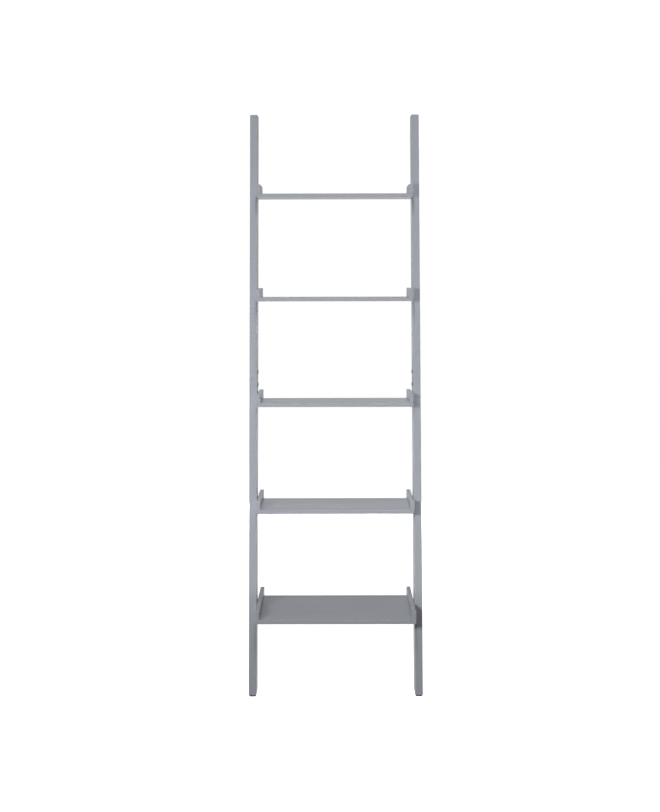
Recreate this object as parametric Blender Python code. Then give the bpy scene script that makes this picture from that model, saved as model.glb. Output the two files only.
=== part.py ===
"""A five-tier leaning ladder shelf in painted wood.

Two slim side rails lean back against a wall and carry five open trays. The trays share one upright
plane at the back and get deeper towards the floor. Each tray is a thin board with a low board along
each end. Each rail is made of two lengths, joined end to end by a hidden steel tongue.

Metres, +Z up, front towards -Y, wall at +Y. The origin is under the middle of the whole shelf.
"""
import math

import bmesh
import bpy
from mathutils import Matrix, Vector

# Driving dimensions
WIDTH = 0.560                # outside to outside of the rails
HEIGHT = 1.885               # floor to the top of the rails
LEAN_RUN = 0.113             # how far a rail leans back for each metre that it rises
RAIL_THICK = 0.025           # across the shelf
RAIL_WIDE = 0.065            # front to back, square to the rail
RAIL_EASE = 0.0015           # chamfer along the rail's edges
SPLICE_HEIGHT = 1.014        # where the two lengths of a rail meet

TIER_TOPS = (0.264, 0.597, 0.938, 1.280, 1.618)     # upper faces of the shelf boards
TIER_DEPTHS = (0.300, 0.214, 0.172, 0.161, 0.128)
TRAY_TO_WALL = 0.0310        # clear space behind the trays
BOARD_THICK = 0.012
BOARD_EASE = 0.0010
SIDE_THICK = 0.0132
SIDE_RISE = 0.0295            # height of a side board above the shelf board
TRAY_CLEAR = 0.0006          # between a tray and each rail

WALL_FLAT = 0.070            # height of the upright cut where a rail meets the wall
WALL_PAD = (0.0030, 0.018, 0.050)   # thickness, width and height
FOOT_PAD_THICK = 0.004
PAD_INSET = 0.002            # bare wood round a foot pad

BOLT_SHANK = 0.0030          # radii of the M6 bolts
BOLT_HEAD = 0.0066
BUTTON_HEAD = 0.0070
BOLT_SINK = 0.0036           # height of the cone under a sunk head
BUTTON_RISE = 0.0032
HEX_SOCKET = 0.0023          # from the middle to a corner
HEX_DEEP = 0.0024
BOLT_SPACING = 0.020
BOLT_CLEAR = 0.0005          # between a bolt and its hole
BOLT_PAST_PLATE = 0.0015     # how far a bolt's end passes the steel that it is screwed into

NUT_PLATE = (0.004, 0.030, 0.014)   # thickness, front to back and height
TONGUE = (0.004, 0.040, 0.090)      # thickness, across and along the rail
SPLICE_BOLT_OFFSET = 0.0205         # from the joint, along the rail

GAP = 0.0003                 # kept between pieces that touch

# Sizes that follow from the driving dimensions
RAIL_X = WIDTH / 2 - RAIL_THICK / 2
RAIL_INNER_X = WIDTH / 2 - RAIL_THICK
LEAN = math.atan(LEAN_RUN)
RAIL_RUN = RAIL_WIDE / math.cos(LEAN)
WALL_Y = (TIER_DEPTHS[0] + TRAY_TO_WALL) / 2
TRAY_REAR_Y = WALL_Y - TRAY_TO_WALL
WALL_FLAT_Y = WALL_Y - WALL_PAD[0]
FOOT_REAR_Y = WALL_FLAT_Y - (HEIGHT - WALL_FLAT) * LEAN_RUN
FOOT_FRONT_Y = FOOT_REAR_Y - RAIL_RUN
TRAY_HALF = RAIL_INNER_X - TRAY_CLEAR
TRAY_BOLT_LONG = RAIL_THICK + TRAY_CLEAR + NUT_PLATE[0] + BOLT_PAST_PLATE
SPLICE_BOLT_LONG = (RAIL_THICK + TONGUE[0]) / 2 + BOLT_PAST_PLATE
ALONG_RAIL = Vector((0, math.sin(LEAN), math.cos(LEAN)))
ACROSS_RAIL = Vector((0, math.cos(LEAN), -math.sin(LEAN)))

PAINT = ((0.355, 0.372, 0.407, 1), 0.5, 0.0)
STEEL = ((0.55, 0.55, 0.56, 1), 0.35, 1.0)
RUBBER = ((0.05, 0.05, 0.055, 1), 0.8, 0.0)
SIDES = (("left", -1), ("right", 1))


# Building blocks

def clear_scene():
    for thing in list(bpy.data.objects):
        bpy.data.objects.remove(thing, do_unlink=True)


def add_object(name, bm, finish=None):
    """Turn a bmesh into an object. One with no finish is a cutter."""
    bmesh.ops.recalc_face_normals(bm, faces=bm.faces)
    mesh = bpy.data.meshes.new(name)
    bm.to_mesh(mesh)
    bm.free()
    thing = bpy.data.objects.new(name, mesh)
    bpy.context.scene.collection.objects.link(thing)
    if finish is None:
        thing.hide_render = True
        thing.display_type = 'WIRE'
        return thing
    colour, roughness, metallic = finish
    material = bpy.data.materials.new(name)
    material.use_nodes = True
    shader = material.node_tree.nodes["Principled BSDF"]
    shader.inputs["Base Color"].default_value = colour
    shader.inputs["Roughness"].default_value = roughness
    shader.inputs["Metallic"].default_value = metallic
    mesh.materials.append(material)
    return thing


def extrude_outline(bm, outline, start, travel):
    """Add a prism: a flat outline of points, moved to start and swept along travel."""
    corners = [bm.verts.new(Vector(point) + Vector(start)) for point in outline]
    face = bm.faces.new(corners)
    swept = bmesh.ops.extrude_face_region(bm, geom=[face])
    moved = [part for part in swept["geom"] if isinstance(part, bmesh.types.BMVert)]
    bmesh.ops.translate(bm, verts=moved, vec=Vector(travel))


def add_block(bm, low, high):
    outline = [(low[0], low[1], 0), (high[0], low[1], 0), (high[0], high[1], 0), (low[0], high[1], 0)]
    extrude_outline(bm, outline, (0, 0, low[2]), (0, 0, high[2] - low[2]))


def circle(radius, count):
    return [radius] * count


def hexagon(corner, count):
    """Distances from the centre to a hexagon's outline, at count equal turns (a multiple of 6)."""
    turn = 2 * math.pi / count
    flat = corner * math.cos(math.pi / 6)
    return [flat / math.cos((i * turn) % (math.pi / 3) - math.pi / 6) for i in range(count)]


def add_turned(bm, rings, place):
    """Add a capped solid from rings of equal count: (height on the local Z, distances from it)."""
    loops = []
    for height, radii in rings:
        loop = []
        for i, radius in enumerate(radii):
            angle = 2 * math.pi * i / len(radii)
            point = Vector((radius * math.cos(angle), radius * math.sin(angle), height))
            loop.append(bm.verts.new(place @ point))
        loops.append(loop)
    bm.faces.new(loops[0])
    bm.faces.new(loops[-1])
    for lower, upper in zip(loops, loops[1:]):
        for i in range(len(lower)):
            j = (i + 1) % len(lower)
            bm.faces.new((lower[i], lower[j], upper[j], upper[i]))


def facing(direction, centre):
    """The placement that puts the local +Z axis along direction, at centre."""
    turn = Vector(direction).to_track_quat('Z', 'Y').to_matrix().to_4x4()
    return Matrix.Translation(Vector(centre)) @ turn


def ease_edges(thing, width):
    bevel = thing.modifiers.new("eased edges", 'BEVEL')
    bevel.width = width
    bevel.segments = 1
    bevel.limit_method = 'ANGLE'
    bevel.angle_limit = math.radians(30)


def cut(thing, cutter):
    boolean = thing.modifiers.new("cut", 'BOOLEAN')
    boolean.operation = 'DIFFERENCE'
    boolean.solver = 'EXACT'
    boolean.object = cutter


# Bolts and bolt holes: the head faces the local +Z axis, and its seat is at the local origin

def add_sunk_bolt(bm, place, length):
    add_turned(bm, [
        (-HEX_DEEP, hexagon(HEX_SOCKET, 12)),
        (0, hexagon(HEX_SOCKET, 12)),
        (0, circle(BOLT_HEAD, 12)),
        (-BOLT_SINK, circle(BOLT_SHANK, 12)),
        (-length, circle(BOLT_SHANK, 12)),
    ], place)


def add_sunk_bolt_hole(bm, place, length):
    above = 0.001
    add_turned(bm, [
        (above, circle(BOLT_HEAD + GAP + above, 12)),
        (-BOLT_SINK, circle(BOLT_SHANK + BOLT_CLEAR, 12)),
        (-length, circle(BOLT_SHANK + BOLT_CLEAR, 12)),
    ], place)


def add_button_bolt(bm, place, length):
    add_turned(bm, [
        (BUTTON_RISE - HEX_DEEP, hexagon(HEX_SOCKET, 12)),
        (BUTTON_RISE, hexagon(HEX_SOCKET, 12)),
        (BUTTON_RISE, circle(BUTTON_HEAD * 0.55, 12)),
        (BUTTON_RISE * 0.6, circle(BUTTON_HEAD * 0.92, 12)),
        (GAP, circle(BUTTON_HEAD, 12)),
        (GAP, circle(BOLT_SHANK, 12)),
        (-length, circle(BOLT_SHANK, 12)),
    ], place)


def add_plain_hole(bm, place, start, end):
    radius = circle(BOLT_SHANK + BOLT_CLEAR, 12)
    add_turned(bm, [(-start, radius), (-end, radius)], place)


# Places that the rails and the trays share

def rail_front_y(height):
    return FOOT_FRONT_Y + height * LEAN_RUN


def rail_point(side, height, along=0.0):
    """A point on a rail's centre line, at a height and a distance further up the rail."""
    middle = Vector((side * RAIL_X, rail_front_y(height) + RAIL_RUN / 2, height))
    return middle + along * ALONG_RAIL


def tray_front_y(tier):
    return TRAY_REAR_Y - TIER_DEPTHS[tier]


def bolt_height(tier):
    return TIER_TOPS[tier] + GAP + SIDE_RISE / 2


def bolt_middle_y(tier):
    """The bolts sit about the middle of the stretch that the rail and the tray share."""
    front = rail_front_y(bolt_height(tier))
    rear = min(front + RAIL_RUN, TRAY_REAR_Y)
    return (front + rear) / 2


def tray_bolt_places(tier, side):
    """The front bolt and the rear bolt, both from outside the rail."""
    for offset in (-BOLT_SPACING / 2, BOLT_SPACING / 2):
        centre = (side * (WIDTH / 2 - GAP), bolt_middle_y(tier) + offset, bolt_height(tier))
        yield facing((side, 0, 0), centre)


def splice_bolt_places(side):
    """The lower bolt and the upper bolt, both from inside the rail."""
    for along in (-SPLICE_BOLT_OFFSET, SPLICE_BOLT_OFFSET):
        centre = rail_point(side, SPLICE_HEIGHT, along)
        centre.x = side * RAIL_INNER_X
        yield facing((-side, 0, 0), centre)


# Rails

def tongue_block(bm, side, spare):
    """The steel tongue's block, or with some spare all round, the slot that it sits in."""
    wide = ACROSS_RAIL * (TONGUE[1] / 2 + spare)
    far = ALONG_RAIL * (TONGUE[2] / 2 + spare)
    half = TONGUE[0] / 2 + spare
    start = rail_point(side, SPLICE_HEIGHT) - Vector((half, 0, 0))
    extrude_outline(bm, [-wide - far, wide - far, wide + far, far - wide], start, (2 * half, 0, 0))


def cut_rail(rail, side, tiers):
    """The holes for the trays' bolts, the slot for the tongue, and the holes for its bolts."""
    bm = bmesh.new()
    for tier in tiers:
        for place in tray_bolt_places(tier, side):
            add_sunk_bolt_hole(bm, place, RAIL_THICK + 2 * BOLT_PAST_PLATE)
    cut(rail, add_object(rail.name + "_holes", bm))
    bm = bmesh.new()
    tongue_block(bm, side, GAP)
    cut(rail, add_object(rail.name + "_slot", bm))
    bm = bmesh.new()
    for place in splice_bolt_places(side):
        add_plain_hole(bm, place, -BOLT_PAST_PLATE, SPLICE_BOLT_LONG + GAP)
    cut(rail, add_object(rail.name + "_splice_holes", bm))


def make_rail(name, side, outline, tiers):
    bm = bmesh.new()
    start = (side * RAIL_X - RAIL_THICK / 2, 0, 0)
    extrude_outline(bm, [(0, y, z) for y, z in outline], start, (RAIL_THICK, 0, 0))
    rail = add_object(name, bm, PAINT)
    ease_edges(rail, RAIL_EASE)
    cut_rail(rail, side, tiers)


def splice_corners(offset):
    """The rail's front and rear corners on a square cut, a little above or below the joint."""
    middle = rail_point(0, SPLICE_HEIGHT, offset)
    front = middle - ACROSS_RAIL * RAIL_WIDE / 2
    rear = middle + ACROSS_RAIL * RAIL_WIDE / 2
    return (front.y, front.z), (rear.y, rear.z)


def make_rail_lower(word, side):
    foot = FOOT_PAD_THICK + GAP
    front, rear = splice_corners(-GAP / 2)
    outline = [
        (rail_front_y(foot), foot),
        (rail_front_y(foot) + RAIL_RUN, foot),
        rear,
        front,
    ]
    tiers = [tier for tier in range(len(TIER_DEPTHS)) if TIER_TOPS[tier] < SPLICE_HEIGHT]
    make_rail(word + "_rail_lower", side, outline, tiers)


def make_rail_upper(word, side):
    front, rear = splice_corners(GAP / 2)
    outline = [
        front,
        rear,
        (WALL_FLAT_Y, HEIGHT - WALL_FLAT),
        (WALL_FLAT_Y, HEIGHT),
        (rail_front_y(HEIGHT), HEIGHT),
    ]
    tiers = [tier for tier in range(len(TIER_DEPTHS)) if TIER_TOPS[tier] > SPLICE_HEIGHT]
    make_rail(word + "_rail_upper", side, outline, tiers)


def make_splice(word, side):
    bm = bmesh.new()
    tongue_block(bm, side, 0)
    tongue = add_object(word + "_splice_plate", bm, STEEL)
    bm = bmesh.new()
    for place in splice_bolt_places(side):
        add_plain_hole(bm, place, 0, RAIL_THICK)
    cut(tongue, add_object(tongue.name + "_holes", bm))
    for level, place in zip(("lower", "upper"), splice_bolt_places(side)):
        bm = bmesh.new()
        add_button_bolt(bm, place, SPLICE_BOLT_LONG)
        add_object("%s_splice_bolt_%s" % (word, level), bm, STEEL)


def make_foot_pad(word, side):
    half = RAIL_THICK / 2 - PAD_INSET
    front = FOOT_FRONT_Y + PAD_INSET
    rear = FOOT_FRONT_Y + RAIL_RUN - PAD_INSET
    bm = bmesh.new()
    add_block(bm, (side * RAIL_X - half, front, 0), (side * RAIL_X + half, rear, FOOT_PAD_THICK))
    add_object(word + "_foot_pad", bm, RUBBER)


def make_wall_pad(word, side):
    middle = HEIGHT - WALL_FLAT / 2
    bm = bmesh.new()
    add_block(
        bm,
        (side * RAIL_X - WALL_PAD[1] / 2, WALL_FLAT_Y + GAP, middle - WALL_PAD[2] / 2),
        (side * RAIL_X + WALL_PAD[1] / 2, WALL_Y, middle + WALL_PAD[2] / 2),
    )
    add_object(word + "_wall_pad", bm, RUBBER)


# Trays

def make_shelf_board(tier):
    top = TIER_TOPS[tier]
    bm = bmesh.new()
    add_block(
        bm,
        (-TRAY_HALF, tray_front_y(tier), top - BOARD_THICK),
        (TRAY_HALF, TRAY_REAR_Y, top),
    )
    board = add_object("shelf_board_%d" % (tier + 1), bm, PAINT)
    ease_edges(board, BOARD_EASE)


def nut_plate_block(bm, side, tier, spare):
    """A nut plate's block, or with some spare all round, the recess that it sits in."""
    inner = TRAY_HALF - GAP - NUT_PLATE[0] - spare
    outer = TRAY_HALF - GAP + (BOARD_EASE if spare else 0)
    half_deep = NUT_PLATE[1] / 2 + spare
    half_high = NUT_PLATE[2] / 2 + spare
    low_x, high_x = sorted((side * inner, side * outer))
    middle = bolt_middle_y(tier)
    height = bolt_height(tier)
    add_block(
        bm,
        (low_x, middle - half_deep, height - half_high),
        (high_x, middle + half_deep, height + half_high),
    )


def make_side_board(word, side, tier):
    low = TIER_TOPS[tier] + GAP
    low_x, high_x = sorted((side * TRAY_HALF, side * (TRAY_HALF - SIDE_THICK)))
    bm = bmesh.new()
    add_block(bm, (low_x, tray_front_y(tier), low), (high_x, TRAY_REAR_Y, low + SIDE_RISE))
    board = add_object("%s_side_board_%d" % (word, tier + 1), bm, PAINT)
    ease_edges(board, BOARD_EASE)
    bm = bmesh.new()
    nut_plate_block(bm, side, tier, GAP)
    cut(board, add_object(board.name + "_recess", bm))
    bm = bmesh.new()
    for place in tray_bolt_places(tier, side):
        add_plain_hole(bm, place, RAIL_THICK, TRAY_BOLT_LONG + GAP)
    cut(board, add_object(board.name + "_holes", bm))


def make_nut_plate(word, side, tier):
    bm = bmesh.new()
    nut_plate_block(bm, side, tier, 0)
    plate = add_object("%s_nut_plate_%d" % (word, tier + 1), bm, STEEL)
    bm = bmesh.new()
    for place in tray_bolt_places(tier, side):
        add_plain_hole(bm, place, RAIL_THICK, TRAY_BOLT_LONG + GAP)
    cut(plate, add_object(plate.name + "_holes", bm))


def make_tray_bolts(word, side, tier):
    for end, place in zip(("front", "rear"), tray_bolt_places(tier, side)):
        bm = bmesh.new()
        add_sunk_bolt(bm, place, TRAY_BOLT_LONG)
        add_object("%s_tray_bolt_%d_%s" % (word, tier + 1, end), bm, STEEL)


def build():
    clear_scene()
    for word, side in SIDES:
        make_rail_lower(word, side)
        make_rail_upper(word, side)
        make_splice(word, side)
        make_foot_pad(word, side)
        make_wall_pad(word, side)
    for tier in range(len(TIER_DEPTHS)):
        make_shelf_board(tier)
        for word, side in SIDES:
            make_side_board(word, side, tier)
            make_nut_plate(word, side, tier)
            make_tray_bolts(word, side, tier)


build()
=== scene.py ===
"""The looks of a leaning ladder shelf in satin grey paint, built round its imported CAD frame.

Every painted board and rail, every bolt and every pad is a finer piece that stands for its CAD node.
Metres, +Z up, front towards -Y, wall at +Y.
"""
import math

import bmesh
import bpy
from mathutils import Matrix, Vector


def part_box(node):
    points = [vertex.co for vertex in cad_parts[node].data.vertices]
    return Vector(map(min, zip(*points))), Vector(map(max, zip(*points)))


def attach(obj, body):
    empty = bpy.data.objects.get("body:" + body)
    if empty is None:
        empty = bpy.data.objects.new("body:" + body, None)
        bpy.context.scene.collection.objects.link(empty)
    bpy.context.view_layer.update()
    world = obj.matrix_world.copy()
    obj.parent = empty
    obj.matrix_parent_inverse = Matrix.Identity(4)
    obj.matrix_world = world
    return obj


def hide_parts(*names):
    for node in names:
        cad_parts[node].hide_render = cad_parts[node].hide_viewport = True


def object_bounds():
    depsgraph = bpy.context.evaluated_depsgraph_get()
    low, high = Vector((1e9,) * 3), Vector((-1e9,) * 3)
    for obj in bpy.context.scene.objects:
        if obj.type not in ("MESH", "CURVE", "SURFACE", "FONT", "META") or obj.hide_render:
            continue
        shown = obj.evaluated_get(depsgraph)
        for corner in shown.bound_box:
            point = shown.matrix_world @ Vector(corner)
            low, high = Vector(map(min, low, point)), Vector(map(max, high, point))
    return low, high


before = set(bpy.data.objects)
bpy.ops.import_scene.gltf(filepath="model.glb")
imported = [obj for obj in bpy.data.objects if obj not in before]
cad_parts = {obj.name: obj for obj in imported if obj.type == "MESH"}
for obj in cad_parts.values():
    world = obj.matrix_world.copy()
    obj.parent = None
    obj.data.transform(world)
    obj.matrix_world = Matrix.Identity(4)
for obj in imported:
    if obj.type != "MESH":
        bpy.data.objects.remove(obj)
CAD_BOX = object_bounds()
BODY = "root"
SIDES = (("left", -1), ("right", 1))
TIERS = range(1, 6)
LEVELS = ("lower", "upper")
ENDS = ("front", "rear")

# Sizes that the frame can't be asked for
LEAN_RUN = 0.113             # how far a rail leans back for each metre that it rises
RAIL_WIDE = 0.065            # front to back, square to the rail
WALL_FLAT = 0.070            # height of the upright cut where a rail meets the wall
GAP = 0.0003                 # kept between pieces that touch
BOLT_SHANK = 0.0030          # radius of the M6 bolts
BOLT_CLEAR = 0.0005          # between a bolt and its hole
BOLT_SINK = 0.0036           # height of the cone under a sunk head
HEX_SOCKET = 0.0023          # from the middle to a corner
HEX_DEEP = 0.0024
PLATE_THICK = 0.004          # the splice plate in a rail's joint
PLATE_WIDE = 0.040           # across the rail
PLATE_LONG = 0.090           # along the rail

# Rounded edges: their radii, and how finely they are made
RAIL_ROUND = 0.0018
BOARD_ROUND = 0.0012
PAD_CORNER = 0.0035          # at the corners of a pad's outline
PAD_ROUND = 0.0006           # along a pad's edges
RIM_ROUND = 0.0005           # the painted lip of a bolt's hole
HEAD_ROUND = 0.0004          # at the rim of a sunk head
ROUND_STEPS = 4              # faces in a quarter turn
DOME_STEPS = 8               # faces in the dome of a button head
RING = 48                    # points round a turned piece
SHARP_DEGREES = 40           # a fold above this stays a sharp edge

# A bolt's finer detail
HEAD_FLAT = 0.0006           # from the rim of a sunk head to its flat face
BUTTON_CROWN = 0.52          # radius of a button head's flat top, as a part of the head's
POINT_LONG = 0.0006          # the tapered end of a bolt
POINT_TAPER = 0.0005         # how much smaller the radius is there
DRILL_DEEP = 0.0005          # the drilled hollow under a socket
DRILL_RADIUS = 0.0003
SOCKET_FOOT = 0.0001         # height of the narrowing at the bottom of a socket
FOOT_SHARE = 0.96            # the socket's size there, as a part of the whole
LEAD_IN_DEEP = 0.0002        # the widening at the top of a socket
LEAD_IN_HEX = 1.03           # the hexagon there, as a part of the socket's
LEAD_IN_ROUND = 0.98         # the circle that widens it between corners

# Cutters
OVERLAP = 0.001              # how far a cutter stands out past the face that it cuts
THROUGH = 0.04               # depth of a cutter that goes right through a rail
HAIR = 1e-6                  # closer together than this is the same place
GROOVES = 5                  # across a pad's outer face
GROOVE_WIDE = 0.0012
GROOVE_DEEP = 0.0006

X, Y, Z = Vector((1, 0, 0)), Vector((0, 1, 0)), Vector((0, 0, 1))
LEAN = math.atan(LEAN_RUN)
ALONG_RAIL = Vector((0, math.sin(LEAN), math.cos(LEAN)))
ACROSS_RAIL = Vector((0, math.cos(LEAN), -math.sin(LEAN)))
RAIL_RUN = RAIL_WIDE / math.cos(LEAN)


# Mesh code

def new_object(name, bm):
    """Turn a mesh under construction into an object of the scene."""
    bmesh.ops.recalc_face_normals(bm, faces=bm.faces)
    mesh = bpy.data.meshes.new(name)
    bm.to_mesh(mesh)
    bm.free()
    thing = bpy.data.objects.new(name, mesh)
    bpy.context.scene.collection.objects.link(thing)
    return thing


def prism(bm, outline, travel):
    """Add a flat outline of points swept along travel."""
    corners = [bm.verts.new(Vector(point)) for point in outline]
    face = bm.faces.new(corners)
    swept = bmesh.ops.extrude_face_region(bm, geom=[face])
    moved = [part for part in swept["geom"] if isinstance(part, bmesh.types.BMVert)]
    bmesh.ops.translate(bm, verts=moved, vec=Vector(travel))


def block(bm, low, high):
    outline = [
        (low[0], low[1], low[2]),
        (high[0], low[1], low[2]),
        (high[0], high[1], low[2]),
        (low[0], high[1], low[2]),
    ]
    prism(bm, outline, (0, 0, high[2] - low[2]))


def round_edges(bm, radius, keep_sharp=lambda edge: False):
    bmesh.ops.bevel(
        bm,
        geom=[edge for edge in bm.edges if not keep_sharp(edge)],
        offset=radius,
        segments=ROUND_STEPS,
        profile=0.5,
        affect='EDGES',
        clamp_overlap=True,
    )


def quarter_turn(steps=ROUND_STEPS):
    """Equal angles from 0 to a right angle."""
    return [math.pi / 2 * i / steps for i in range(steps + 1)]


def circle(radius):
    return [radius] * RING


def hexagon(corner):
    """Distances from the centre to a hexagon's outline, at equal turns."""
    turn = 2 * math.pi / RING
    flat = corner * math.cos(math.pi / 6)
    return [flat / math.cos((i * turn) % (math.pi / 3) - math.pi / 6) for i in range(RING)]


def turned(bm, rings, place):
    """Add a capped solid from rings: (height on the local Z, distances from it)."""
    loops = []
    for height, radii in rings:
        loop = []
        for i, radius in enumerate(radii):
            angle = 2 * math.pi * i / RING
            point = Vector((radius * math.cos(angle), radius * math.sin(angle), height))
            loop.append(bm.verts.new(place @ point))
        loops.append(loop)
    bm.faces.new(loops[0])
    bm.faces.new(loops[-1])
    for lower, upper in zip(loops, loops[1:]):
        for i in range(RING):
            j = (i + 1) % RING
            bm.faces.new((lower[i], lower[j], upper[j], upper[i]))


def facing(direction, centre):
    """The placement that puts the local +Z axis along direction, at centre."""
    turn = Vector(direction).to_track_quat('Z', 'Y').to_matrix().to_4x4()
    return Matrix.Translation(Vector(centre)) @ turn


def settle(thing):
    """Apply thing's modifiers."""
    bpy.context.view_layer.update()
    shown = thing.evaluated_get(bpy.context.evaluated_depsgraph_get())
    mesh = bpy.data.meshes.new_from_object(shown)
    thing.modifiers.clear()
    thing.data = mesh


def cut(thing, bm):
    """Cut a closed mesh out of thing, for good."""
    cutter = new_object(thing.name + "_cutter", bm)
    boolean = thing.modifiers.new("cut", 'BOOLEAN')
    boolean.operation = 'DIFFERENCE'
    boolean.solver = 'EXACT'
    boolean.object = cutter
    settle(thing)
    bpy.data.objects.remove(cutter, do_unlink=True)


def smooth(thing):
    """Smooth shading on the rounds, with flat faces kept flat."""
    mesh = thing.data
    mesh.polygons.foreach_set("use_smooth", [True] * len(mesh.polygons))
    mesh.set_sharp_from_angle(angle=math.radians(SHARP_DEGREES))
    weighted = thing.modifiers.new("flat faces stay flat", 'WEIGHTED_NORMAL')
    weighted.keep_sharp = True


def store_grain(thing, centre, axes, half, seed):
    """Store where each vertex is from the piece's middle, along, across and through the grain.

    The piece's half sizes on the same axes and its own seed are stored with it.
    """
    mesh = thing.data
    places = []
    for vertex in mesh.vertices:
        offset = vertex.co - centre
        places += [offset.dot(axis) for axis in axes]
    count = len(mesh.vertices)
    mesh.attributes.new("grain", 'FLOAT_VECTOR', 'POINT').data.foreach_set("vector", places)
    mesh.attributes.new("reach", 'FLOAT_VECTOR', 'POINT').data.foreach_set("vector", list(half) * count)
    mesh.attributes.new("seed", 'FLOAT', 'POINT').data.foreach_set("value", [seed] * count)


def put_on(thing, material, slot, *nodes):
    """Give a piece its material and body, and hide the CAD nodes that it stands for; slot is not used."""
    thing.data.materials.clear()
    thing.data.materials.append(material)
    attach(thing, BODY)
    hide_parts(*nodes)


# Materials

class Nodes:
    """A short way to add and link shader nodes."""

    def __init__(self, name):
        self.material = bpy.data.materials.new(name)
        self.material.use_nodes = True
        self.tree = self.material.node_tree
        self.shader = self.tree.nodes["Principled BSDF"]

    def feed(self, value, socket):
        if isinstance(value, bpy.types.NodeSocket):
            self.tree.links.new(value, socket)
        else:
            socket.default_value = value

    def add(self, kind, inputs=(), **settings):
        node = self.tree.nodes.new(kind)
        for key, value in settings.items():
            setattr(node, key, value)
        for key, value in dict(inputs).items():
            self.feed(value, node.inputs[key])
        return node

    def finish(self, inputs):
        """Feed the shader's own sockets, and give the material."""
        for key, value in inputs.items():
            self.feed(value, self.shader.inputs[key])
        return self.material

    def operate(self, kind, operation, values):
        node = self.add(kind, operation=operation)
        for value, socket in zip(values, node.inputs):
            self.feed(value, socket)
        return node.outputs[0]

    def math(self, operation, *values):
        return self.operate('ShaderNodeMath', operation, values)

    def vector(self, operation, *values):
        return self.operate('ShaderNodeVectorMath', operation, values)

    def stretch(self, place, scale, seed=(0.0, 0.0, 0.0)):
        """The place, scaled by axis and moved by the piece's own seed."""
        return self.vector('ADD', self.vector('MULTIPLY', place, scale), seed)

    def noise(self, place, detail=3.0, roughness=0.5, distortion=0.0):
        node = self.add('ShaderNodeTexNoise', {
            "Vector": place,
            "Scale": 1.0,
            "Detail": detail,
            "Roughness": roughness,
            "Distortion": distortion,
        })
        return node.outputs[0]

    def spread(self, value, low, high, to_low, to_high):
        """Map value from one range to another, clamped."""
        node = self.add('ShaderNodeMapRange', {
            "Value": value,
            "From Min": low,
            "From Max": high,
            "To Min": to_low,
            "To Max": to_high,
        })
        return node.outputs[0]

    def blend(self, factor, first, second, blend_type='MIX'):
        node = self.add('ShaderNodeMix', data_type='RGBA', blend_type=blend_type)
        self.feed(factor, node.inputs[0])
        self.feed(first, node.inputs[6])
        self.feed(second, node.inputs[7])
        return node.outputs[2]

    def bump(self, height, strength, distance, normal=None):
        node = self.add('ShaderNodeBump', {"Height": height, "Strength": strength, "Distance": distance})
        if normal is not None:
            self.feed(normal, node.inputs["Normal"])
        return node.outputs[0]


PAINT = (0.345, 0.361, 0.402, 1)
PAINT_WARM = (0.355, 0.363, 0.395, 1)
PAINT_COOL = (0.331, 0.352, 0.398, 1)
PAINT_THIN = (0.387, 0.403, 0.436, 1)
STEEL_BLUE = (0.50, 0.52, 0.56, 1)
STEEL_STRAW = (0.60, 0.585, 0.55, 1)
STEEL_DULL = (0.36, 0.36, 0.37, 1)
RUBBER_DARK = (0.125, 0.125, 0.130, 1)
RUBBER_PALE = (0.165, 0.165, 0.168, 1)

# How fine each pattern is: repeats in a metre along, across and through the grain
MOTTLE = (3.0, 9.0, 9.0)
DRIFT = (1.1, 2.0, 2.0)
GRAIN = (14.0, 420.0, 420.0)
PORES = (60.0, 1500.0, 1500.0)
STIPPLE = (700.0, 700.0, 700.0)
CHIPS = (45.0, 160.0, 160.0)
WEAR_WIDE = 0.0022           # how far in from an edge the paint is thin

# The same for steel and rubber, on the object's own axes
STEEL_PATCHES = (90.0, 90.0, 90.0)
STEEL_LINES = (500.0, 500.0, 6000.0)
STEEL_SPOTS = (900.0, 900.0, 900.0)
RUBBER_CLOUD = (120.0, 120.0, 120.0)
RUBBER_PEBBLE = (2200.0, 2200.0, 2200.0)


def paint_colour(nodes, place, seed, mottle, grain, pores):
    """The paint's colour on a face: a soft mottle, a little darker along the grain and in the pores."""
    drift = nodes.noise(nodes.stretch(place, DRIFT, seed), detail=1.0)
    tint = nodes.blend(nodes.spread(mottle, 0.35, 0.65, 0.0, 1.0), PAINT_COOL, PAINT_WARM)
    tint = nodes.blend(nodes.spread(drift, 0.3, 0.7, 0.25, 0.75), tint, PAINT)
    shade = nodes.spread(grain, 0.30, 0.70, 0.975, 1.02)
    shade = nodes.math('MULTIPLY', shade, nodes.spread(pores, 0.62, 0.75, 1.0, 0.955))
    grey = nodes.add('ShaderNodeCombineColor', {"Red": shade, "Green": shade, "Blue": shade})
    return nodes.blend(1.0, tint, grey.outputs[0], 'MULTIPLY')


def edge_wear(nodes, place, seed):
    """How thin the paint is: most along the piece's edges, and 0 on its faces."""
    # Distance to the nearest edge: the middle one of the distances to the piece's faces
    reach = nodes.add('ShaderNodeAttribute', attribute_name="reach").outputs["Vector"]
    inside = nodes.vector('SUBTRACT', reach, nodes.vector('ABSOLUTE', place))
    axes = nodes.add('ShaderNodeSeparateXYZ', {"Vector": inside}).outputs
    smaller = nodes.math('MINIMUM', axes[0], axes[1])
    larger = nodes.math('MAXIMUM', axes[0], axes[1])
    edge = nodes.math('MAXIMUM', smaller, nodes.math('MINIMUM', larger, axes[2]))
    chips = nodes.noise(nodes.stretch(place, CHIPS, seed))
    ragged = nodes.math('ADD', edge, nodes.spread(chips, 0.3, 0.7, -0.0007, 0.0010))
    return nodes.spread(ragged, 0.0, WEAR_WIDE, 0.55, 0.0)


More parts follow.
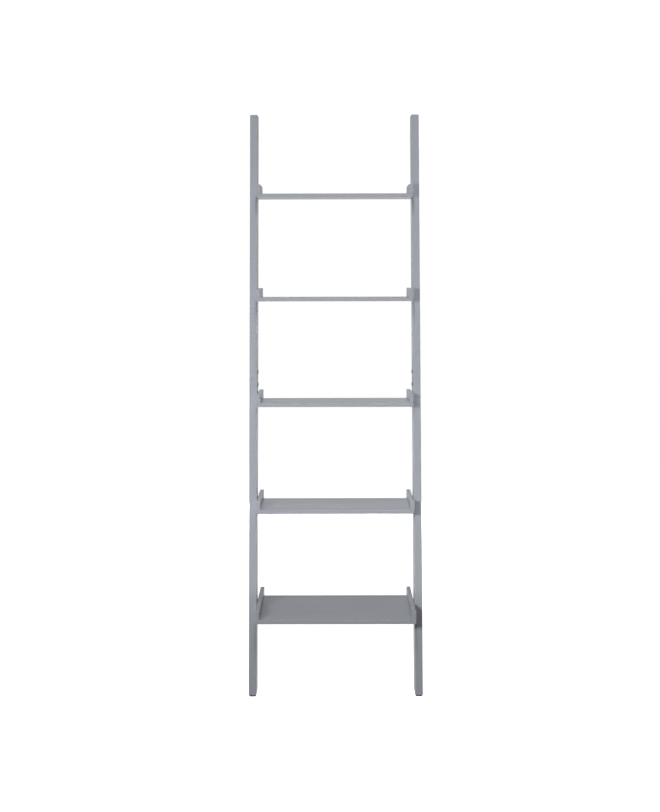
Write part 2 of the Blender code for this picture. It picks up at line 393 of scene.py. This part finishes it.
def make_paint():
    """Satin grey lacquer on wood: mottle, faint grain showing through, sprayed stipple, thin edges."""
    nodes = Nodes("painted_wood")
    place = nodes.add('ShaderNodeAttribute', attribute_name="grain").outputs["Vector"]
    seed = nodes.add('ShaderNodeAttribute', attribute_name="seed").outputs["Fac"]
    mottle = nodes.noise(nodes.stretch(place, MOTTLE, seed), detail=2.0)
    grain = nodes.noise(nodes.stretch(place, GRAIN, seed), detail=4.0, roughness=0.6, distortion=0.4)
    pores = nodes.noise(nodes.stretch(place, PORES, seed), detail=2.0)
    stipple = nodes.noise(nodes.stretch(place, STIPPLE, seed), detail=2.0, roughness=0.55)

    colour = paint_colour(nodes, place, seed, mottle, grain, pores)
    gloss = nodes.spread(mottle, 0.3, 0.7, 0.20, 0.26)
    gloss = nodes.math('ADD', gloss, nodes.spread(stipple, 0.3, 0.7, -0.02, 0.03))
    normal = nodes.bump(stipple, 0.10, 0.0002)
    normal = nodes.bump(grain, 0.09, 0.00025, normal)
    normal = nodes.bump(pores, 0.06, 0.0002, normal)
    return nodes.finish({
        "Base Color": nodes.blend(edge_wear(nodes, place, seed), colour, PAINT_THIN),
        "Roughness": gloss,
        "Normal": normal,
        "Specular IOR Level": 0.42,
        "Coat Weight": 0.06,
        "Coat Roughness": 0.25,
    })


def make_steel():
    """Zinc-plated steel: turned and rolled scratches, faint blue and straw patches, dull spots."""
    nodes = Nodes("zinc_steel")
    place = nodes.add('ShaderNodeTexCoord').outputs["Object"]
    patches = nodes.noise(nodes.stretch(place, STEEL_PATCHES))
    lines = nodes.noise(nodes.stretch(place, STEEL_LINES), detail=2.0)
    spots = nodes.noise(nodes.stretch(place, STEEL_SPOTS), roughness=0.7)
    colour = nodes.blend(nodes.spread(patches, 0.35, 0.65, 0.0, 1.0), STEEL_BLUE, STEEL_STRAW)
    return nodes.finish({
        "Base Color": nodes.blend(nodes.spread(spots, 0.55, 0.75, 0.0, 0.5), colour, STEEL_DULL),
        "Roughness": nodes.spread(spots, 0.3, 0.75, 0.26, 0.46),
        "Normal": nodes.bump(lines, 0.15, 0.0001),
        "Metallic": 1.0,
    })


def make_rubber():
    """Grey moulded rubber with a fine matt grain."""
    nodes = Nodes("grey_rubber")
    place = nodes.add('ShaderNodeTexCoord').outputs["Object"]
    cloud = nodes.noise(nodes.stretch(place, RUBBER_CLOUD))
    pebble = nodes.noise(nodes.stretch(place, RUBBER_PEBBLE), detail=2.0)
    return nodes.finish({
        "Base Color": nodes.blend(nodes.spread(cloud, 0.3, 0.7, 0.0, 1.0), RUBBER_DARK, RUBBER_PALE),
        "Roughness": nodes.spread(cloud, 0.3, 0.7, 0.68, 0.82),
        "Normal": nodes.bump(pebble, 0.35, 0.0001),
        "Specular IOR Level": 0.3,
    })


# Where things are, read from the frame

def middle(node):
    low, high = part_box(node)
    return (low + high) / 2


def tray_bolt(word, tier, end):
    return "%s_tray_bolt_%d_%s" % (word, tier, end)


def splice_bolt(word, level):
    return "%s_splice_bolt_%s" % (word, level)


def inner_face_x(word, side):
    """Where a rail's inner face is."""
    low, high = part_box(word + "_rail_lower")
    return side * (CAD_BOX[1].x - (high.x - low.x))


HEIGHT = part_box("left_rail_upper")[1].z
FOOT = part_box("left_rail_lower")[0].z
WALL_FLAT_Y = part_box("left_rail_upper")[1].y
FOOT_REAR_Y = WALL_FLAT_Y - (HEIGHT - WALL_FLAT) * LEAN_RUN
FOOT_FRONT_Y = FOOT_REAR_Y - RAIL_RUN


def rail_front_y(height):
    return FOOT_FRONT_Y + height * LEAN_RUN


# Holes

def bore(bm, top, bottom, place):
    """A plain hole for a bolt's shank, between two heights on the local Z."""
    shank = circle(BOLT_SHANK + BOLT_CLEAR)
    turned(bm, [(top, shank), (bottom, shank)], place)


def hole_rim(radius):
    """The rounded lip of a hole: rings from just outside the face to just below it."""
    rings = [(OVERLAP, circle(radius + RIM_ROUND))]
    for turn in quarter_turn():
        height = -RIM_ROUND * (1 - math.cos(turn))
        rings.append((height, circle(radius + RIM_ROUND * (1 - math.sin(turn)))))
    return rings


def sunk_hole(bm, word, side, tier, end):
    """The hole through a rail for a sunk bolt, with a cone for its head."""
    low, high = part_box(tray_bolt(word, tier, end))
    head = high.y - low.y
    centre = Vector((side * CAD_BOX[1].x, (low.y + high.y) / 2, (low.z + high.z) / 2))
    shank = circle(BOLT_SHANK + BOLT_CLEAR)
    rings = hole_rim(head / 2 + GAP) + [(-BOLT_SINK - GAP, shank), (-THROUGH, shank)]
    turned(bm, rings, facing((side, 0, 0), centre))


def splice_slot(bm, word):
    """The slot for the splice plate, on both sides of a rail's joint."""
    wide = ACROSS_RAIL * (PLATE_WIDE / 2 + GAP)
    far = ALONG_RAIL * (PLATE_LONG / 2 + GAP)
    start = middle(word + "_splice_plate") - X * (PLATE_THICK / 2 + GAP)
    corners = [start - wide - far, start + wide - far, start + wide + far, start - wide + far]
    prism(bm, corners, (PLATE_THICK + 2 * GAP, 0, 0))


# Rails

def rail_end(offset):
    """The front and rear corners of a square cut, a little above or below the joint."""
    height = middle("left_splice_plate").z
    centre = Vector((0, rail_front_y(height) + RAIL_RUN / 2, height)) + offset * ALONG_RAIL
    front = centre - ACROSS_RAIL * RAIL_WIDE / 2
    rear = centre + ACROSS_RAIL * RAIL_WIDE / 2
    return (front.y, front.z), (rear.y, rear.z)


def rail_outline(level):
    """A rail's corners seen from the side, as (Y, Z), and the two of them that are at the joint."""
    if level == "lower":
        front, rear = rail_end(-GAP / 2)
        foot_front = rail_front_y(FOOT)
        outline = [(foot_front, FOOT), (foot_front + RAIL_RUN, FOOT), rear, front]
    else:
        front, rear = rail_end(GAP / 2)
        outline = [
            front,
            rear,
            (WALL_FLAT_Y, HEIGHT - WALL_FLAT),
            (WALL_FLAT_Y, HEIGHT),
            (rail_front_y(HEIGHT), HEIGHT),
        ]
    return outline, (front, rear)


def cut_rail(rail, word, side, level):
    """Cut the holes of the tray bolts that this length holds, then the slot and the splice bolt's hole."""
    low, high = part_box("%s_rail_%s" % (word, level))
    bm = bmesh.new()
    for tier in TIERS:
        for end in ENDS:
            if low.z < middle(tray_bolt(word, tier, end)).z < high.z:
                sunk_hole(bm, word, side, tier, end)
    splice_slot(bm, word)
    cut(rail, bm)
    bolt_low, bolt_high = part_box(splice_bolt(word, level))
    centre = (bolt_low + bolt_high) / 2
    centre.x = inner_face_x(word, side)
    bm = bmesh.new()
    bore(bm, OVERLAP, -(bolt_high.x - bolt_low.x), facing((-side, 0, 0), centre))
    cut(rail, bm)


def make_rail(word, side, level, paint, seed):
    name = "%s_rail_%s" % (word, level)
    low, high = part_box(name)
    outline, joint = rail_outline(level)

    def at_joint(edge):
        return all(
            any(abs(vertex.co.y - y) < HAIR and abs(vertex.co.z - z) < HAIR for y, z in joint)
            for vertex in edge.verts
        )

    bm = bmesh.new()
    prism(bm, [(low.x, y, z) for y, z in outline], (high.x - low.x, 0, 0))
    round_edges(bm, RAIL_ROUND, at_joint)
    rail = new_object("painted_" + name, bm)
    cut_rail(rail, word, side, level)
    smooth(rail)

    length = (Vector((0, outline[0][0], low.z)) - Vector((0, outline[-1][0], high.z))).length
    half = (length / 2, RAIL_WIDE / 2, (high.x - low.x) / 2)
    centre = Vector((middle(word + "_splice_plate").x, 0, (low.z + high.z) / 2))
    centre.y = rail_front_y(centre.z) + RAIL_RUN / 2
    store_grain(rail, centre, (ALONG_RAIL, ACROSS_RAIL, X), half, seed)
    put_on(rail, paint, "painted_wood", name)


# Trays

def make_shelf_board(tier, paint, seed):
    name = "shelf_board_%d" % tier
    low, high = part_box(name)
    bm = bmesh.new()
    block(bm, low, high)
    round_edges(bm, BOARD_ROUND)
    board = new_object("painted_" + name, bm)
    smooth(board)
    store_grain(board, (low + high) / 2, (X, Y, Z), (high - low) / 2, seed)
    put_on(board, paint, "painted_wood", name)


def cut_side_board(board, word, side, tier):
    """Cut the recess of the nut plate in the outer face, then the two bolts' holes."""
    low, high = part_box("%s_side_board_%d" % (word, tier))
    plate_low, plate_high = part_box("%s_nut_plate_%d" % (word, tier))
    spare = Vector((GAP, GAP, GAP))
    recess_low, recess_high = plate_low - spare, plate_high + spare
    if side > 0:
        recess_high.x = high.x + OVERLAP
    else:
        recess_low.x = low.x - OVERLAP
    bm = bmesh.new()
    block(bm, recess_low, recess_high)
    cut(board, bm)
    bm = bmesh.new()
    for end in ENDS:
        bolt_low, bolt_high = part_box(tray_bolt(word, tier, end))
        centre = (bolt_low + bolt_high) / 2
        centre.x = side * CAD_BOX[1].x
        bore(bm, 0, -(bolt_high.x - bolt_low.x + 2 * GAP), facing((side, 0, 0), centre))
    cut(board, bm)


def make_side_board(word, side, tier, paint, seed):
    name = "%s_side_board_%d" % (word, tier)
    low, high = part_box(name)

    def underneath(edge):
        return all(vertex.co.z < low.z + HAIR for vertex in edge.verts)

    bm = bmesh.new()
    block(bm, low, high)
    round_edges(bm, BOARD_ROUND, underneath)
    board = new_object("painted_" + name, bm)
    cut_side_board(board, word, side, tier)
    smooth(board)
    store_grain(board, (low + high) / 2, (Y, Z, X), ((high - low) / 2).yzx, seed)
    put_on(board, paint, "painted_wood", name)


# Bolts

def socket_rings(top):
    """A hexagon socket, from its drilled point up to its lead-in at the head's face."""
    bottom = top - HEX_DEEP
    lead_in = [max(radius, HEX_SOCKET * LEAD_IN_ROUND) for radius in hexagon(HEX_SOCKET * LEAD_IN_HEX)]
    return [
        (bottom - DRILL_DEEP, circle(DRILL_RADIUS)),
        (bottom, hexagon(HEX_SOCKET * FOOT_SHARE)),
        (bottom + SOCKET_FOOT, hexagon(HEX_SOCKET)),
        (top - LEAD_IN_DEEP, hexagon(HEX_SOCKET)),
        (top, lead_in),
    ]


def shank_rings(start, end):
    """The bolt's body below its head, with a tapered end."""
    return [
        (start, circle(BOLT_SHANK)),
        (end + POINT_LONG, circle(BOLT_SHANK)),
        (end, circle(BOLT_SHANK - POINT_TAPER)),
    ]


def make_bolt(name, rings, place, steel):
    bm = bmesh.new()
    turned(bm, rings, place)
    bolt = new_object("steel_" + name, bm)
    smooth(bolt)
    put_on(bolt, steel, "steel", name)


def make_sunk_bolt(word, side, tier, end, steel):
    name = tray_bolt(word, tier, end)
    low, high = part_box(name)
    head = (high.y - low.y) / 2
    centre = (low + high) / 2
    centre.x = high.x if side > 0 else low.x
    rings = socket_rings(0) + [(0, circle(head - HEAD_FLAT))]
    for turn in quarter_turn()[1:]:
        height = -HEAD_ROUND * (1 - math.cos(turn))
        rings.append((height, circle(head - HEAD_ROUND * (1 - math.sin(turn)))))
    rings += shank_rings(-BOLT_SINK, low.x - high.x)
    make_bolt(name, rings, facing((side, 0, 0), centre), steel)


def make_button_bolt(word, side, level, steel):
    name = splice_bolt(word, level)
    low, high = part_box(name)
    head = (high.z - low.z) / 2
    crown = head * BUTTON_CROWN
    centre = (low + high) / 2
    centre.x = inner_face_x(word, side)
    rise = abs((low.x if side > 0 else high.x) - centre.x)
    rings = socket_rings(rise)
    for turn in quarter_turn(DOME_STEPS):
        height = GAP + (rise - GAP) * math.cos(turn)
        rings.append((height, circle(crown + (head - crown) * math.sin(turn))))
    rings += shank_rings(GAP, -(high.x - low.x - rise))
    make_bolt(name, rings, facing((-side, 0, 0), centre), steel)


# Pads

def pad_outline(low, high, long_axis, wide_axis):
    """The outline of a pad on its low face, with round corners."""
    outline = []
    for long_sign, wide_sign in ((1, 1), (1, -1), (-1, -1), (-1, 1)):
        long_corner = high[long_axis] if long_sign > 0 else low[long_axis]
        wide_corner = high[wide_axis] if wide_sign > 0 else low[wide_axis]
        arc = []
        for turn in quarter_turn():
            point = list(low)
            point[long_axis] = long_corner - long_sign * PAD_CORNER * (1 - math.sin(turn))
            point[wide_axis] = wide_corner - wide_sign * PAD_CORNER * (1 - math.cos(turn))
            arc.append(point)
        outline += arc if long_sign == wide_sign else arc[::-1]
    return outline


def cut_grooves(pad, low, high, long_axis, wide_axis, thin_axis):
    """Cut the grooves across a pad's outer face: the low one under a foot, the high one at the wall."""
    outer = low[thin_axis] if thin_axis == 2 else high[thin_axis]
    bm = bmesh.new()
    for i in range(GROOVES):
        along = low[long_axis] + (high[long_axis] - low[long_axis]) * (i + 1) / (GROOVES + 1)
        start, end = [0.0, 0.0, 0.0], [0.0, 0.0, 0.0]
        start[long_axis], end[long_axis] = along - GROOVE_WIDE / 2, along + GROOVE_WIDE / 2
        start[wide_axis], end[wide_axis] = low[wide_axis] - OVERLAP, high[wide_axis] + OVERLAP
        start[thin_axis], end[thin_axis] = outer - GROOVE_DEEP, outer + GROOVE_DEEP
        block(bm, start, end)
    cut(pad, bm)


def make_pad(node, thin_axis, rubber):
    """A moulded pad. thin_axis is the one through it: 2 under a foot, and 1 at the wall."""
    low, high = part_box(node)
    long_axis, wide_axis = (1, 0) if thin_axis == 2 else (2, 0)
    travel = [0.0, 0.0, 0.0]
    travel[thin_axis] = high[thin_axis] - low[thin_axis]

    def through_pad(edge):
        return abs(edge.verts[0].co[thin_axis] - edge.verts[1].co[thin_axis]) > HAIR

    bm = bmesh.new()
    prism(bm, pad_outline(low, high, long_axis, wide_axis), travel)
    round_edges(bm, PAD_ROUND, through_pad)
    pad = new_object("rubber_" + node, bm)
    cut_grooves(pad, low, high, long_axis, wide_axis, thin_axis)
    smooth(pad)
    put_on(pad, rubber, "rubber", node)


# Stage

BACKDROP = 1.02              # strengths of the white that the camera sees behind the shelf
AMBIENT = 0.02               # and of the even light that falls on it
SHEEN = 0.59                 # what its reflections see low down
SHEEN_ABOVE = 0.42           # and higher up
FADE_FROM, FADE_TO = 0.06, 0.14     # rise of a reflection's direction where one becomes the other
FLOOR_REACH = 45.0
FLOOR_GREY = (0.9, 0.9, 0.9, 1)
FLOOR_GLOW = 0.985           # nearly white by itself, so that no shadow shows
WHITE = (1, 1, 1, 1)


def white_all_round():
    """The camera sees plain white, and other rays a dim even light.

    Reflections see a pale room that is dimmer above.
    """
    world = bpy.data.worlds.new("studio")
    bpy.context.scene.world = world
    world.use_nodes = True
    tree = world.node_tree
    dim = tree.nodes["Background"]
    pale = tree.nodes.new('ShaderNodeBackground')
    white = tree.nodes.new('ShaderNodeBackground')
    for background, strength in ((dim, AMBIENT), (pale, SHEEN), (white, BACKDROP)):
        background.inputs["Color"].default_value = WHITE
        background.inputs["Strength"].default_value = strength
    direction = tree.nodes.new('ShaderNodeTexCoord')
    rise = tree.nodes.new('ShaderNodeSeparateXYZ')
    fade = tree.nodes.new('ShaderNodeMapRange')
    for word, value in zip(
        ("From Min", "From Max", "To Min", "To Max"),
        (FADE_FROM, FADE_TO, SHEEN, SHEEN_ABOVE),
    ):
        fade.inputs[word].default_value = value
    tree.links.new(direction.outputs["Generated"], rise.inputs[0])
    tree.links.new(rise.outputs["Z"], fade.inputs["Value"])
    tree.links.new(fade.outputs[0], pale.inputs["Strength"])
    path = tree.nodes.new('ShaderNodeLightPath')
    below = dim
    for background, ray in ((pale, "Is Glossy Ray"), (white, "Is Camera Ray")):
        choice = tree.nodes.new('ShaderNodeMixShader')
        tree.links.new(path.outputs[ray], choice.inputs[0])
        tree.links.new(below.outputs[0], choice.inputs[1])
        tree.links.new(background.outputs[0], choice.inputs[2])
        below = choice
    tree.links.new(below.outputs[0], tree.nodes["World Output"].inputs["Surface"])


def make_floor():
    bm = bmesh.new()
    signs = ((-1, -1), (1, -1), (1, 1), (-1, 1))
    bm.faces.new([bm.verts.new(Vector((x * FLOOR_REACH, y * FLOOR_REACH, 0))) for x, y in signs])
    floor = new_object("studio_floor", bm)
    floor.data.materials.append(Nodes("studio_floor").finish({
        "Base Color": FLOOR_GREY,
        "Roughness": 0.9,
        "Specular IOR Level": 0.0,
        "Emission Color": WHITE,
        "Emission Strength": FLOOR_GLOW,
    }))
    floor.visible_diffuse = False
    floor.visible_glossy = False


def add_light(kind, name, place, target, watts, **settings):
    """Add a light that neither the camera nor a reflection sees."""
    light = bpy.data.lights.new(name, kind)
    light.energy = watts
    for key, value in settings.items():
        setattr(light, key, value)
    thing = bpy.data.objects.new(name, light)
    thing.visible_glossy = False
    thing.visible_camera = False
    bpy.context.scene.collection.objects.link(thing)
    thing.location = Vector(place)
    thing.rotation_mode = 'QUATERNION'
    thing.rotation_quaternion = (Vector(target) - Vector(place)).to_track_quat('-Z', 'Y')


def add_softbox(name, place, target, size, watts, spread=180):
    width, height = size
    angle = math.radians(spread)
    add_light('AREA', name, place, target, watts, shape='RECTANGLE', size=width, size_y=height, spread=angle)


def add_spot(name, place, target, radius, watts, cone, soft):
    angle = math.radians(cone)
    add_light('SPOT', name, place, target, watts, shadow_soft_size=radius, spot_size=angle, spot_blend=soft)


def light_it():
    """A soft key from the left, and a high lamp cut off above the lowest tray.

    The rest is light from above, behind, below and both sides.
    """
    add_softbox("key", (-1.13, -2.5, 1.34), (0.43, 0, 0.4), (0.9, 0.3), 9.9, 78)
    add_spot("high", (0, -4.1, 2.4), (0, 0, 2.925), 0.04, 200, 70, 0.02)
    add_softbox("over", (0, -1.9, 3.1), (0, 0, 0.6), (0.3, 0.8), 30)
    add_spot("behind", (0, 3.0, 2.6), (0, 0, 2.36), 0.20, 300, 64, 0.06)
    add_softbox("behind_low", (0, 3.2, 0.30), (0, 0, 0.5), (1.2, 0.4), 24)
    add_softbox("from_floor", (0, 2.0, 0.01), (0, 2.0, 1.0), (5.0, 3.0), 65)
    for word, side in SIDES:
        add_softbox(word + "_side", (side * 3.2, 0.3, 0.12), (0, 0, 0.6), (1.6, 0.2), 62)


# Camera

CAMERA_PLACE = (-0.0094, -3.905, 1.360)
TILT_DOWN = 2.487            # degrees, as are the next two
TURN = 0.097
ROLL = -0.132
SENSOR = 36                  # millimetres
LENS = 53.18
SHIFT_DOWN = 0.0998          # of the frame's height


def add_camera():
    data = bpy.data.cameras.new("camera")
    data.sensor_width = SENSOR
    data.lens = LENS
    data.shift_y = -SHIFT_DOWN
    data.dof.use_dof = False
    camera = bpy.data.objects.new("camera", data)
    bpy.context.scene.collection.objects.link(camera)
    turn = Matrix.Rotation(math.radians(TURN), 4, 'Z')
    tilt = Matrix.Rotation(math.radians(90 - TILT_DOWN), 4, 'X')
    roll = Matrix.Rotation(math.radians(ROLL), 4, 'Z')
    camera.matrix_world = Matrix.Translation(CAMERA_PLACE) @ turn @ tilt @ roll
    bpy.context.scene.camera = camera


SEED_STEP = 3.7              # moves the paint's patterns from one piece to the next


def build():
    paint, steel, rubber = make_paint(), make_steel(), make_rubber()
    seed = 0.0
    for word, side in SIDES:
        for level in LEVELS:
            seed += SEED_STEP
            make_rail(word, side, level, paint, seed)
            make_button_bolt(word, side, level, steel)
        make_pad(word + "_foot_pad", 2, rubber)
        make_pad(word + "_wall_pad", 1, rubber)
    for tier in TIERS:
        seed += SEED_STEP
        make_shelf_board(tier, paint, seed)
        for word, side in SIDES:
            seed += SEED_STEP
            make_side_board(word, side, tier, paint, seed)
            for end in ENDS:
                make_sunk_bolt(word, side, tier, end, steel)

    # The nut plates and splice plates, which no finer piece stands for
    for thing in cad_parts.values():
        if not thing.hide_render:
            thing.data.materials.clear()
            thing.data.materials.append(steel)


build()
make_floor()
white_all_round()
light_it()
add_camera()
bpy.context.scene.view_settings.view_transform = 'Standard'
bpy.context.scene.view_settings.look = 'None'
